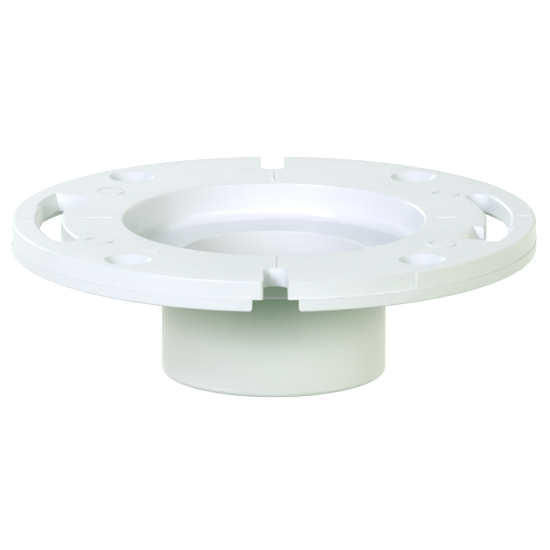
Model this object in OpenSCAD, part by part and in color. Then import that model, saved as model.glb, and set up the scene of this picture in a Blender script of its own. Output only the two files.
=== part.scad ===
// Closet (toilet) flange, 4 x 3 inch inside-fit pattern, white moulded PVC.
// The real flange is a single moulding. It is described here section by section:
// a slotted plate, two half skirts under its rim, four screw bosses, the funnel
// bowl, the spigot and six raised index beads, meeting face to face.
// Millimetres. +Z is up through the bore, z = 0 is the lower end of the spigot.
// -Y is the front, +X the right. The two keyhole slots are on the X axis and the
// two open bolt notches on the Y axis.

/* [Ring] */
// Outside diameter of the ring
ring_d = 177.8; // [170:0.1:185]
// Overall height, spigot end to the rim of the top face
body_h = 53.3; // [45:0.1:80]
// Thickness of the plate at the rim
plate_t = 6.4; // [5:0.1:9]
// Fall of the top face from the outer land to the bowl
dish_drop = 0.55; // [0.1:0.05:1.5]
// Radius where the flat outer land ends and the fall begins
land_r = 81.6; // [81:0.1:84]
// Rounding of the upper rim edge
rim_round = 0.7; // [0.2:0.1:1.5]

/* [Skirt] */
// Height of the skirt under the plate
skirt_h = 4.1; // [2:0.1:6]
// Wall of the skirt
skirt_wall = 3.3; // [2:0.1:4]
// Step out of the skirt under the rim, which leaves the parting line
skirt_step = 0.25; // [0.1:0.05:0.8]
// Width of the gap between the two half skirts
gap_w = 15.3; // [12:0.1:20]
// Rounding of the lower corners at the gap
gap_round = 1.5; // [0.5:0.1:2.5]
// Rounding of the lower skirt edges
skirt_round = 0.6; // [0.2:0.1:1]

/* [Bowl] */
// Inside diameter of the bowl
bowl_d = 102; // [98:0.1:106]
// Wall of the bowl
bowl_wall = 4; // [3:0.1:6]
// Depth of the underside of the bowl below the rim
bowl_depth = 15; // [13:0.1:20]
// Depth of the floor at the throat below the rim
throat_depth = 12.95; // [11:0.05:14]
// Slope of the bowl floor in degrees
floor_slope = 0.4; // [0:0.1:12]
// Fillet between bowl wall and floor
bowl_fillet = 3.6; // [1:0.1:6]
// Rounding of the throat lip
throat_round = 0.35; // [0.3:0.1:2.5]
// Rounding of the bowl edge on the top face
lip_round = 0.8; // [0.3:0.1:1.5]

/* [Spigot] */
// Outside diameter of the spigot
spigot_d = 76.2; // [74:0.1:77.5]
// Bore of the spigot and throat
bore_d = 64.4; // [58:0.1:68]
// Lead-in chamfer on the outside of the spigot end
lead_in = 1.2; // [0.4:0.1:3]

/* [Bolt slots] */
// Bolt circle diameter, shared by slots, notches and screws
bolt_circle_d = 152.4; // [150:0.1:155]
// Width of the narrow part of the keyhole slots
slot_w = 8.1; // [7:0.1:10]
// Angle from the X axis to the centre of the rounded slot end
slot_end_a = 22.65; // [15:0.05:30]
// Angle from the X axis to the step between narrow and wide part
slot_step_a = 10.9; // [6:0.1:15]
// Angle from the X axis to the end wall of the wide part
slot_wide_a = 25; // [18:0.1:32]
// Inner radius of the wide part at the top face
wide_in_top_r = 68.2; // [66:0.1:71]
// Outer radius of the wide part at the top face
wide_out_top_r = 82.5; // [81:0.1:84]
// Inner radius of the wide part at the underside
wide_in_low_r = 71.4; // [68:0.1:72]
// Outer radius of the wide part at the underside
wide_out_low_r = 81.2; // [80.5:0.1:83]
// Rounding of the top edge of the narrow part
slot_round = 0.8; // [0.2:0.1:1.2]

/* [Bolt notches] */
// Width of the open notches
notch_w = 8; // [7:0.1:11]
// Radius from the axis to the inner end of the notches
notch_end_r = 70.4; // [68:0.1:76]
// Inner corner radius of the notches
notch_round = 3.4; // [1:0.1:4]
// Rounding where the notches meet the rim
notch_mouth_round = 1.2; // [0.5:0.1:2]

/* [Screw holes] */
// Angle of the screw holes from the X axis
screw_a = 50.3; // [45:0.1:55]
// Diameter of the screw shank hole
screw_d = 6.4; // [4:0.1:8]
// Diameter of the countersink at the top face
screw_head_d = 15.6; // [12:0.1:17]
// Diameter of the bosses under the plate
boss_d = 15; // [12:0.1:16.5]

/* [Moulded marks] */
// Height of the index beads
bead_h = 0.4; // [0.2:0.05:0.8]
// Width of the index beads at the foot
bead_w = 1.1; // [0.6:0.1:2]
// Height of the plain rings and arcs
mark_h = 0.25; // [0.1:0.05:0.5]
// Depth of the blank panel in the front of the rim
panel_depth = 0.35; // [0.1:0.05:0.5]
// Height of the step under the blank panel
panel_foot = 0.45; // [0.2:0.05:1]
// Angle from the X axis to the right end of the blank panel
panel_end_a = 58.6; // [45:0.1:75]

/* [Hidden] */
$fn = 180;
eps = 0.5;
ring_r = ring_d / 2;
z_top = body_h;
z_plate = z_top - plate_t;
z_floor = z_plate - skirt_h;
z_bowl = z_top - bowl_depth;
bowl_r = bowl_d / 2;
bowl_out_r = bowl_r + bowl_wall;
bore_r = bore_d / 2;
spigot_r = spigot_d / 2;
skirt_r = ring_r + skirt_step;
bolt_r = bolt_circle_d / 2;
narrow_in_r = bolt_r - slot_w / 2;
narrow_out_r = bolt_r + slot_w / 2;
dish_slope = dish_drop / (land_r - bowl_r);
arc_steps = 8;

// Height of the top face at radius r
function face_z(r) = r >= land_r ? z_top : z_top - (land_r - r) * dish_slope;

// Points of an arc from angle a0 to a1
function arc(cx, cy, r, a0, a1, n = arc_steps) = [
    for (i = [0 : n])
        let (a = a0 + (a1 - a0) * i / n)
            [cx + r * cos(a), cy + r * sin(a)]
];

// Solid below the top face, used to seat the beads
module below_face() {
    rotate_extrude()
        polygon([
            [bowl_r, z_plate], [ring_r + 5, z_plate], [ring_r + 5, z_top],
            [land_r, z_top], [bowl_r, face_z(bowl_r)]
        ]);
}

// Sector of a ring with a given cross-section, from angle a0 to a1
module sector(points, a0, a1) {
    rotate([0, 0, a0])
        rotate_extrude(angle = a1 - a0)
            polygon(points);
}

module box(x0, x1, y0, y1, z0, z1) {
    translate([x0, y0, z0])
        cube([x1 - x0, y1 - y0, z1 - z0]);
}

// ---- cutters ----

// Keyhole slot on the +X side, wide end toward -Y
module keyhole() {
    z0 = z_plate - eps;
    z1 = z_top + eps;
    slope_in = (wide_in_low_r - wide_in_top_r) / plate_t;
    slope_out = (wide_out_top_r - wide_out_low_r) / plate_t;
    // narrow part with rounded top edges
    z_edge = face_z(narrow_in_r) - slot_round;
    flare = concat(
        [[narrow_in_r, z0]],
        arc(narrow_in_r - slot_round, z_edge, slot_round, 0, 90, 4),
        [[narrow_in_r - slot_round, z1], [narrow_out_r + slot_round, z1]],
        arc(narrow_out_r + slot_round, z_edge, slot_round, 90, 180, 4),
        [[narrow_out_r, z0]]
    );
    sector(flare, -slot_step_a - 2, slot_end_a);
    // rounded end, a hair narrower than the slot
    end_r = slot_w / 2 - 0.03;
    rotate([0, 0, slot_end_a])
        translate([bolt_r, 0, 0])
            rotate_extrude($fn = 72)
                polygon(concat(
                    [[0, z0 - 0.1], [end_r, z0 - 0.1]],
                    arc(end_r + slot_round, z_edge, slot_round, 180, 90, 4),
                    [[end_r + slot_round, z1 + 0.1], [0, z1 + 0.1]]
                ));
    // wide part, drawn in toward the underside
    sector([
        [wide_in_low_r + slope_in * eps, z0], [wide_out_low_r - slope_out * eps, z0],
        [wide_out_top_r + slope_out * eps, z1], [wide_in_top_r - slope_in * eps, z1]
    ], -slot_wide_a, -slot_step_a);
}

// Open notch on the -Y side
module notch() {
    z0 = z_plate - eps;
    z1 = z_top + eps;
    half = notch_w / 2;
    corner_x = half - notch_round;
    corner_y = -notch_end_r - notch_round;
    mouth_x = half + notch_mouth_round;
    mouth_y = -sqrt(ring_r * ring_r - mouth_x * mouth_x) + notch_mouth_round;
    box(-half, half, -ring_r - 5, corner_y, z0, z1);
    box(-corner_x, corner_x, corner_y - 1, -notch_end_r, z0, z1);
    for (s = [-1, 1]) {
        translate([s * corner_x, corner_y, z0])
            cylinder(h = z1 - z0, r = notch_round, $fn = 48);
        difference() {
            translate([min(s * (half - 1), s * mouth_x), -ring_r - 1, z0])
                cube([mouth_x - half + 1, ring_r + 1 + mouth_y, z1 - z0]);
            translate([s * mouth_x, mouth_y, z0 - 1])
                cylinder(h = z1 - z0 + 2, r = notch_mouth_round, $fn = 48);
        }
    }
}

module screw_cut() {
    z_face = face_z(bolt_r);
    cone_h = (screw_head_d - screw_d) / 2;
    translate([0, 0, z_floor - eps])
        cylinder(h = z_top - z_floor, d = screw_d, $fn = 72);
    translate([0, 0, z_face - cone_h])
        cylinder(h = cone_h + eps, d1 = screw_d, d2 = screw_head_d + 2 * eps, $fn = 72);
}

module at_screw(a) {
    rotate([0, 0, a])
        translate([bolt_r, 0, 0])
            children();
}

// ---- plate ----

// Plain concentric arc on the top face
module mark_arc(r, a0, a1) {
    sector([
        [r - 0.3, z_top - 2], [r + 0.3, z_top - 2],
        [r + 0.3, face_z(r) + mark_h], [r - 0.3, face_z(r) + mark_h]
    ], a0, a1);
}

// Plain ring left by an ejector pin
module mark_ring(r, a, d) {
    rotate([0, 0, a])
        translate([r, 0, 0])
            rotate_extrude($fn = 72)
                polygon([
                    [d / 2 - 0.5, z_top - 2], [d / 2, z_top - 2],
                    [d / 2, face_z(r) + mark_h], [d / 2 - 0.5, face_z(r) + mark_h]
                ]);
}

// Blank sunk panel in the rim, from the front notch to the right, with sloped borders
module panel_cut() {
    r0 = ring_r - panel_depth;
    out_r = ring_r + 0.6;
    z0 = z_plate + panel_foot;
    sector([
        [out_r, z0 - 0.6], [r0, z0 + panel_depth], [r0, z_top + eps], [out_r, z_top + eps]
    ], -89, -panel_end_a);
    // sloped right end
    rotate([0, 0, -panel_end_a])
        translate([0, 0, z0 + panel_depth + 0.05])
            linear_extrude(height = plate_t)
                polygon([
                    [r0 + 0.03, -0.3], [r0 + 0.03, 0.03],
                    [out_r, 1.6 * (out_r - r0)], [out_r, -0.3]
                ]);
}

module plate_blank() {
    lip_r = bowl_r + lip_round;
    rotate_extrude()
        polygon(concat(
            [[bowl_r, z_plate]],
            arc(lip_r, face_z(lip_r) - lip_round, lip_round, 180, 90),
            [[land_r, z_top]],
            arc(ring_r - rim_round, z_top - rim_round, rim_round, 90, 0),
            [[ring_r, z_plate]]
        ));
}

module mounting_plate() {
    color([0.93, 0.94, 0.94])
        difference() {
            union() {
                plate_blank();
                mark_ring(67.4, 29, 9.5);
                mark_ring(67.4, 146, 9.5);
                mark_ring(67.4, 209, 9.5);
                mark_ring(67.4, 326, 9.5);
                mark_arc(62, 224, 232);
                mark_arc(62, 44, 52);
                mark_arc(70, 95, 100);
                mark_arc(70, 275, 280);
            }
            keyhole();
            rotate([0, 0, 180])
                keyhole();
            notch();
            rotate([0, 0, 180])
                notch();
            for (a = [screw_a, 180 - screw_a, 180 + screw_a, -screw_a])
                at_screw(a)
                    screw_cut();
            panel_cut();
        }
}

// ---- skirt ----

// Gap through the skirt on the -Y side, its lower corners rounded
module skirt_gap() {
    half = gap_w / 2;
    y0 = -ring_r - 2;
    y1 = -ring_r + skirt_wall + 4;
    z0 = z_floor;
    box(-half, half, y0, y1, z0 - 1, z_plate + 1);
    for (s = [-1, 1])
        difference() {
            translate([min(s * (half - 1), s * (half + gap_round)), y0, z0 - 1])
                cube([gap_round + 1, y1 - y0, gap_round + 1]);
            translate([s * (half + gap_round), y0 - 1, z0 + gap_round])
                rotate([-90, 0, 0])
                    cylinder(h = y1 - y0 + 2, r = gap_round, $fn = 48);
        }
}

module half_skirt() {
    in_r = skirt_r - skirt_wall;
    difference() {
        sector(concat(
            arc(skirt_r - skirt_round, z_floor + skirt_round, skirt_round, -90, 0, 5),
            [[skirt_r, z_plate], [in_r, z_plate]],
            arc(in_r + skirt_round, z_floor + skirt_round, skirt_round, 180, 270, 5)
        ), -90, 90);
        skirt_gap();
        rotate([0, 0, 180])
            skirt_gap();
    }
}

module skirt_right() {
    color([0.92, 0.93, 0.93])
        half_skirt();
}

module skirt_left() {
    color([0.92, 0.93, 0.93])
        rotate([0, 0, 180])
            half_skirt();
}

// ---- bowl and spigot ----

module funnel_bowl() {
    rise = tan(floor_slope);
    z_virtual = z_top - throat_depth;
    fillet_r = bowl_r - bowl_fillet;
    fillet_z = z_virtual + (fillet_r - bore_r) * rise + bowl_fillet / cos(floor_slope);
    lip_z = z_virtual + throat_round * rise - throat_round / cos(floor_slope);
    color([0.95, 0.96, 0.97])
        rotate_extrude()
            polygon(concat(
                [[bowl_out_r, z_plate], [bowl_r, z_plate]],
                arc(fillet_r, fillet_z, bowl_fillet, 0, floor_slope - 90, 10),
                arc(bore_r + throat_round, lip_z, throat_round, 90 + floor_slope, 180),
                [[bore_r, z_bowl], [bowl_out_r - 1, z_bowl], [bowl_out_r, z_bowl + 1]]
            ));
}

module spigot() {
    color([0.9, 0.92, 0.91])
        rotate_extrude()
            polygon([
                [bore_r, z_bowl], [bore_r, 0.6], [bore_r + 0.6, 0],
                [spigot_r - 0.7, 0], [spigot_r - 0.25, lead_in * 0.35],
                [spigot_r, lead_in], [spigot_r, z_bowl]
            ]);
}

// ---- bosses ----

module screw_boss(a) {
    color([0.92, 0.93, 0.93])
        at_screw(a)
            difference() {
                translate([0, 0, z_floor])
                    cylinder(h = skirt_h, d = boss_d, $fn = 72);
                translate([0, 0, z_floor - 1])
                    cylinder(h = skirt_h + 2, d = screw_d, $fn = 72);
            }
}

module screw_boss_front_left() { screw_boss(180 + screw_a); }
module screw_boss_front_right() { screw_boss(-screw_a); }
module screw_boss_back_left() { screw_boss(180 - screw_a); }
module screw_boss_back_right() { screw_boss(screw_a); }

// ---- index beads ----

// Raised bead along a radius, from r0 to r1, seated on the top face
module index_bead(a, r0, r1) {
    zc = face_z((r0 + r1) / 2);
    color([0.96, 0.97, 0.97])
        rotate([0, 0, a])
            difference() {
                translate([r0, 0, zc])
                    rotate([90, 0, 90])
                        linear_extrude(height = r1 - r0)
                            polygon([
                                [-bead_w / 2, 0], [-bead_w / 2, -1], [bead_w / 2, -1],
                                [bead_w / 2, 0], [bead_w / 4, bead_h], [-bead_w / 4, bead_h]
                            ]);
                below_face();
            }
}

module index_bead_front() { index_bead(270, 54, 69.4); }
module index_bead_back() { index_bead(90, 54, 69.4); }
module index_bead_left_inner() { index_bead(180, 54.5, 70.6); }
module index_bead_left_outer() { index_bead(180, 82, 87.4); }
module index_bead_right_inner() { index_bead(0, 54.5, 70.6); }
module index_bead_right_outer() { index_bead(0, 82, 87.4); }

mounting_plate();
skirt_left();
skirt_right();
funnel_bowl();
spigot();
screw_boss_front_left();
screw_boss_front_right();
screw_boss_back_left();
screw_boss_back_right();
index_bead_front();
index_bead_back();
index_bead_left_inner();
index_bead_left_outer();
index_bead_right_inner();
index_bead_right_outer();
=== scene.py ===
"""Looks of a white moulded PVC closet flange: plastics, studio light, floor and camera."""

import math

import bpy
from mathutils import Matrix, Vector


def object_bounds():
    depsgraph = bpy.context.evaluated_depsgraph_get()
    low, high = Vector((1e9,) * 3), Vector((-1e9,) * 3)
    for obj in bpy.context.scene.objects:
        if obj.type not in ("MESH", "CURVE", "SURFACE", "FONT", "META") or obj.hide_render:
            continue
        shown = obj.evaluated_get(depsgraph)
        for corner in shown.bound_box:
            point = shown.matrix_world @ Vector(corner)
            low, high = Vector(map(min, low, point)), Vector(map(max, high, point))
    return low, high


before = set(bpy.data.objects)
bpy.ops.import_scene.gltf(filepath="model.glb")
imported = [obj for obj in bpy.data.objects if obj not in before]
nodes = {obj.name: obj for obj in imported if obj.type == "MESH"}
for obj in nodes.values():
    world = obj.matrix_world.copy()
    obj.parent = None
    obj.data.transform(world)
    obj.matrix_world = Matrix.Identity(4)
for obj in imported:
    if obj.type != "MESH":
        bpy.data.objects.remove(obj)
cad_lo, cad_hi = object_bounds()
scene = bpy.context.scene


# ---- materials ----

PAINTED_SHADE_TINT = (0.27, 0.46, 0.26, 1)  # painted shade: a greener, darker colour put on the resin where it is boxed in, standing in for shadow
PAINTED_SHADE_REACH = 0.024            # how far off a wall still boxes a place in
PAINTED_SHADE_SPAN = (0.45, 0.95)      # openness at which the painted shade is full, and gone
CORE_TONE = -0.02               # change of tone inside the bowl and the throat
GLOSS_SPAN = (-0.025, 0.035)    # spread of roughness about a finish's own
BOWL_ROUGH = 0.20


class Tree:
    """Small helper for building a node tree."""

    def __init__(self, tree):
        self.tree = tree

    def add(self, kind, links=None, **values):
        node = self.tree.nodes.new(kind)
        for key, value in values.items():
            setattr(node, key, value)
        for socket, source in (links or {}).items():
            target = node.inputs[socket]
            if hasattr(source, "is_output"):
                self.tree.links.new(source, target)
            else:
                target.default_value = source
        return node


def plastic(name, light, dark, rough, tool_marks=0.0, grain=1.0, core=0.0, edge=0.0,
            painted_shade=True, shine=0.5):
    """Moulded PVC. light and dark are the ends of its slight tone variation. Within core of the
    axis it is as glossy as the bowl and a little darker. edge is the radius of its softened
    corners. With the painted shade on, shade is painted into its colour: greener and darker where
    it is boxed in, outside the core. shine is the strength of its reflection, 0.5 being that of
    its index of refraction."""
    mat = bpy.data.materials.new(name)
    mat.use_nodes = True
    mat.node_tree.nodes.clear()
    t = Tree(mat.node_tree)
    place = t.add("ShaderNodeTexCoord").outputs["Object"]

    # inside: 1 within core of the upright axis, else 0
    flat = t.add("ShaderNodeVectorMath", {0: place, 1: (1, 1, 0)}, operation="MULTIPLY")
    radius = t.add("ShaderNodeVectorMath", {0: flat.outputs[0]}, operation="LENGTH")
    inside = t.add("ShaderNodeMath", {0: radius.outputs["Value"], 1: core},
                   operation="LESS_THAN").outputs[0]

    # tone: broad cloudy variation of the resin
    cloud = t.add("ShaderNodeTexNoise", {"Vector": place, "Scale": 38.0, "Detail": 4.0,
                                         "Roughness": 0.55})
    tone = t.add("ShaderNodeValToRGB", {"Fac": cloud.outputs["Fac"]})
    tone.color_ramp.elements[0].position = 0.34
    tone.color_ramp.elements[0].color = (*dark, 1)
    tone.color_ramp.elements[1].position = 0.66
    tone.color_ramp.elements[1].color = (*light, 1)
    colour = tone.outputs["Color"]
    if core:
        value = t.add("ShaderNodeMath", {0: inside, 1: CORE_TONE, 2: 1.0},
                      operation="MULTIPLY_ADD").outputs[0]
        colour = t.add("ShaderNodeHueSaturation", {"Value": value,
                                                    "Color": colour}).outputs["Color"]
    # painted shade: ambient occlusion turns the colour greener and darker where the part is boxed
    # in, standing in for the shadow there
    if painted_shade:
        open_sky = t.add("ShaderNodeAmbientOcclusion", {"Distance": PAINTED_SHADE_REACH},
                         samples=6).outputs["AO"]
        openness = t.add("ShaderNodeMapRange", {"Value": open_sky, "From Min": PAINTED_SHADE_SPAN[0],
                                                "From Max": PAINTED_SHADE_SPAN[1]})
        clear = t.add("ShaderNodeMath", {0: openness.outputs["Result"], 1: inside},
                      operation="MAXIMUM")
        colour = t.add("ShaderNodeMix", {0: clear.outputs[0], 6: PAINTED_SHADE_TINT, 7: colour},
                       data_type="RGBA").outputs[2]

    # gloss: slightly duller where the melt cooled first
    flow = t.add("ShaderNodeTexNoise", {"Vector": place, "Scale": 90.0, "Detail": 5.0,
                                        "Roughness": 0.6})
    gloss = t.add("ShaderNodeMapRange", {
        "Value": flow.outputs["Fac"], "From Min": 0.3, "From Max": 0.7,
        "To Min": rough + GLOSS_SPAN[0], "To Max": rough + GLOSS_SPAN[1]}).outputs["Result"]

    # relief: shallow sink waves, fine mould grain, and turned rings where the mould was turned
    waves = t.add("ShaderNodeTexNoise", {"Vector": place, "Scale": 55.0, "Detail": 2.0})
    bump = t.add("ShaderNodeBump", {"Height": waves.outputs["Fac"], "Strength": 0.25,
                                    "Distance": 0.0004})
    peel = t.add("ShaderNodeTexNoise", {"Vector": place, "Scale": 900.0, "Detail": 3.0})
    bump = t.add("ShaderNodeBump", {"Height": peel.outputs["Fac"], "Strength": 0.10 * grain,
                                    "Distance": 0.0001, "Normal": bump.outputs["Normal"]})
    if tool_marks:
        rings = t.add("ShaderNodeTexWave", {"Vector": place, "Scale": 190.0, "Distortion": 0.4,
                                            "Detail": 1.0},
                      wave_type="RINGS", rings_direction="Z")
        bump = t.add("ShaderNodeBump", {"Height": rings.outputs["Fac"], "Strength": tool_marks,
                                        "Distance": 0.00003, "Normal": bump.outputs["Normal"]})
    normal = bump.outputs["Normal"]
    if edge:
        normal = t.add("ShaderNodeBevel", {"Radius": edge, "Normal": normal},
                       samples=4).outputs["Normal"]

    # the bowl and the throat run through several pieces, so there they all look alike
    if core:
        gloss = t.add("ShaderNodeMath", {0: inside, 1: BOWL_ROUGH - rough, 2: gloss},
                      operation="MULTIPLY_ADD").outputs[0]
        normal = t.add("ShaderNodeMix", {0: inside, 4: normal, 5: bump.outputs["Normal"]},
                       data_type="VECTOR").outputs[1]

    shader = t.add("ShaderNodeBsdfPrincipled", {
        "Base Color": colour, "Roughness": gloss, "IOR": 1.53,
        "Specular IOR Level": shine, "Subsurface Weight": 0.06, "Subsurface Scale": 0.002,
        "Normal": normal})
    shader.inputs["Subsurface Radius"].default_value = (1.0, 0.9, 0.8)
    t.add("ShaderNodeOutputMaterial", {"Surface": shader.outputs["BSDF"]})
    return mat


plate = plastic("plate_pvc", (0.88, 0.89, 0.895), (0.85, 0.865, 0.865), 0.33,
                tool_marks=0.25, core=0.0514, edge=0.0003, painted_shade=False)
skirt = plastic("skirt_pvc", (0.86, 0.875, 0.87), (0.84, 0.855, 0.85), 0.34,
                edge=0.0003, painted_shade=False)
bowl = plastic("bowl_pvc", (0.88, 0.89, 0.895), (0.86, 0.875, 0.875), BOWL_ROUGH,
               grain=0.5, core=0.0512)
spigot = plastic("spigot_pvc", (0.87, 0.885, 0.875), (0.845, 0.86, 0.85), 0.38,
                 grain=1.4, core=0.0335, shine=0.3)
boss = plastic("boss_pvc", (0.87, 0.885, 0.875), (0.845, 0.86, 0.85), 0.34)
bead = plastic("bead_pvc", (0.90, 0.905, 0.91), (0.88, 0.89, 0.89), 0.32,
               edge=0.0002, painted_shade=False)
finish_of = {"mounting_plate": plate, "skirt_left": skirt, "skirt_right": skirt,
             "funnel_bowl": bowl, "spigot": spigot}
for name, node in nodes.items():
    mat = finish_of.get(name) or (boss if name.startswith("screw_boss") else bead)
    node.data.materials.clear()
    node.data.materials.append(mat)


# ---- floor ----

FLOOR_SIZE = 6
FLOOR_BACK = 1.0     # how far the floor's middle lies behind the part
FLOOR_GAP = 0.0002   # how far the floor lies under the part
FLOOR_GLOW = 0.80    # its own light, which makes the paper near white


def make_floor():
    bpy.ops.mesh.primitive_plane_add(size=FLOOR_SIZE,
                                     location=(0, FLOOR_BACK, cad_lo.z - FLOOR_GAP))
    floor = bpy.context.object
    floor.name = "floor"
    mat = bpy.data.materials.new("floor_paper")
    mat.use_nodes = True
    mat.node_tree.nodes.clear()
    t = Tree(mat.node_tree)
    place = t.add("ShaderNodeTexCoord").outputs["Object"]
    fibre = t.add("ShaderNodeTexNoise", {"Vector": place, "Scale": 60.0, "Detail": 3.0})
    shade = t.add("ShaderNodeMapRange", {"Value": fibre.outputs["Fac"], "To Min": 0.50,
                                         "To Max": 0.52})
    matte = t.add("ShaderNodeBsdfDiffuse", {"Color": shade.outputs["Result"]})
    glow = t.add("ShaderNodeEmission", {"Color": (1, 1, 1, 1), "Strength": FLOOR_GLOW})
    both = t.add("ShaderNodeAddShader", {0: matte.outputs["BSDF"], 1: glow.outputs["Emission"]})
    t.add("ShaderNodeOutputMaterial", {"Surface": both.outputs["Shader"]})
    mat.cycles.emission_sampling = "NONE"
    floor.data.materials.append(mat)
    floor.visible_diffuse = False
    floor.visible_shadow = False


make_floor()


# ---- light ----

ONE_OVER_E = 0.36788
LAMP_DISTANCE = 1.6
LAMP_SIZE = 0.168


def sky(lobes):
    """Soft studio surround: the sum of smooth, bell shaped glowing patches, each
    (azimuth from the front, elevation, half width, half height, colour)."""
    world = bpy.data.worlds.new("studio")
    scene.world = world
    world.use_nodes = True
    world.node_tree.nodes.clear()
    world.cycles.sampling_method = "MANUAL"
    world.cycles.sample_map_resolution = 512
    t = Tree(world.node_tree)
    way = t.add("ShaderNodeTexCoord").outputs["Generated"]
    total = (0.0, 0.0, 0.0)
    for azimuth, elevation, half_width, half_height, colour in lobes:
        a, e = math.radians(azimuth), math.radians(elevation)
        axis = Vector((math.sin(a) * math.cos(e), -math.cos(a) * math.cos(e), math.sin(e)))
        side = Vector((math.cos(a), math.sin(a), 0))
        turn = Matrix((side, axis.cross(side), axis)).transposed().to_euler()
        local = t.add("ShaderNodeMapping", {"Vector": way, "Location": axis, "Rotation": turn,
                                            "Scale": (half_width, half_height, 1)},
                      vector_type="TEXTURE")
        off = t.add("ShaderNodeVectorMath", {0: local.outputs[0], 1: local.outputs[0]},
                    operation="DOT_PRODUCT")
        fall = t.add("ShaderNodeMath", {0: ONE_OVER_E, 1: off.outputs["Value"]}, operation="POWER")
        patch = t.add("ShaderNodeVectorMath", {0: colour}, operation="SCALE")
        t.tree.links.new(fall.outputs["Value"], patch.inputs["Scale"])
        total = t.add("ShaderNodeVectorMath", {0: patch.outputs[0], 1: total},
                      operation="ADD").outputs[0]
    glow = t.add("ShaderNodeBackground", {"Color": total, "Strength": 1.0})
    t.add("ShaderNodeOutputWorld", {"Surface": glow.outputs["Background"]})


def lamp(name, azimuth, elevation, power, colour):
    """Area light aimed at the part. Azimuth is counted from the front, positive to the right."""
    data = bpy.data.lights.new(name, "AREA")
    data.shape = "DISK"
    data.size = LAMP_SIZE
    data.energy = power
    data.color = colour
    obj = bpy.data.objects.new(name, data)
    scene.collection.objects.link(obj)
    a, e = math.radians(azimuth), math.radians(elevation)
    aim = Vector((0, 0, cad_hi.z))
    way = Vector((math.sin(a) * math.cos(e), -math.cos(a) * math.cos(e), math.sin(e)))
    obj.location = aim + way * LAMP_DISTANCE
    obj.rotation_mode = "QUATERNION"
    obj.rotation_quaternion = way.to_track_quat("Z", "Y")


LOBES = [
    (-23, 26, 0.22, 0.08, (15.39, 13.93, 17.66)),
    (-23, 17, 0.22, 0.08, (13.41, 13.40, 12.54)),
    (50, 17, 0.3, 0.11, (6.01, 5.85, 5.86)),
    (30, 26, 0.22, 0.08, (5.70, 5.89, 4.99)),
    (90, -7, 0.42, 0.13, (3.70, 3.84, 2.85)),
    (-90, -7, 0.42, 0.13, (4.01, 4.06, 3.83)),
    (135, 6, 0.42, 0.11, (3.75, 3.75, 3.05)),
    (180, 30, 0.34, 0.13, (4.09, 3.61, 3.56)),
    (180, -22, 0.45, 0.22, (3.87, 3.64, 3.15)),
    (-140, 17, 0.3, 0.11, (2.96, 3.64, 2.55)),
    (-135, 6, 0.42, 0.11, (2.45, 2.35, 1.75)),
    (120, 50, 0.42, 0.22, (1.19, 1.76, 1.25)),
    (0, -22, 0.45, 0.22, (1.09, 1.69, 1.17)),
    (-165, 17, 0.2, 0.11, (4.40, 4.35, 5.10)),
    (-120, 50, 0.42, 0.22, (0.53, 1.05, 0.72)),
]
sky(LOBES)
lamp("key", -45, 45, 4.72, (0.65, 0.66, 1.00))
lamp("side", -45, 35, 4.50, (0.81, 0.79, 1.00))


# ---- camera ----

LENS = 501.13
CAMERA_AT = (-0.016305, -2.520472, 0.673985)
CAMERA_RIGHT = Vector((0.999979, -0.006459, 0.000669))
CAMERA_UP = Vector((0.000943, 0.246504, 0.969141))


def make_camera():
    data = bpy.data.cameras.new("camera")
    data.sensor_width = 36
    data.lens = LENS
    data.clip_start, data.clip_end = 0.1, 20
    camera = bpy.data.objects.new("camera", data)
    scene.collection.objects.link(camera)
    turn = Matrix((CAMERA_RIGHT, CAMERA_UP, CAMERA_RIGHT.cross(CAMERA_UP))).transposed()
    camera.matrix_world = Matrix.Translation(CAMERA_AT) @ turn.to_4x4()
    scene.camera = camera


make_camera()
scene.view_settings.view_transform = "Standard"
scene.view_settings.look = "None"
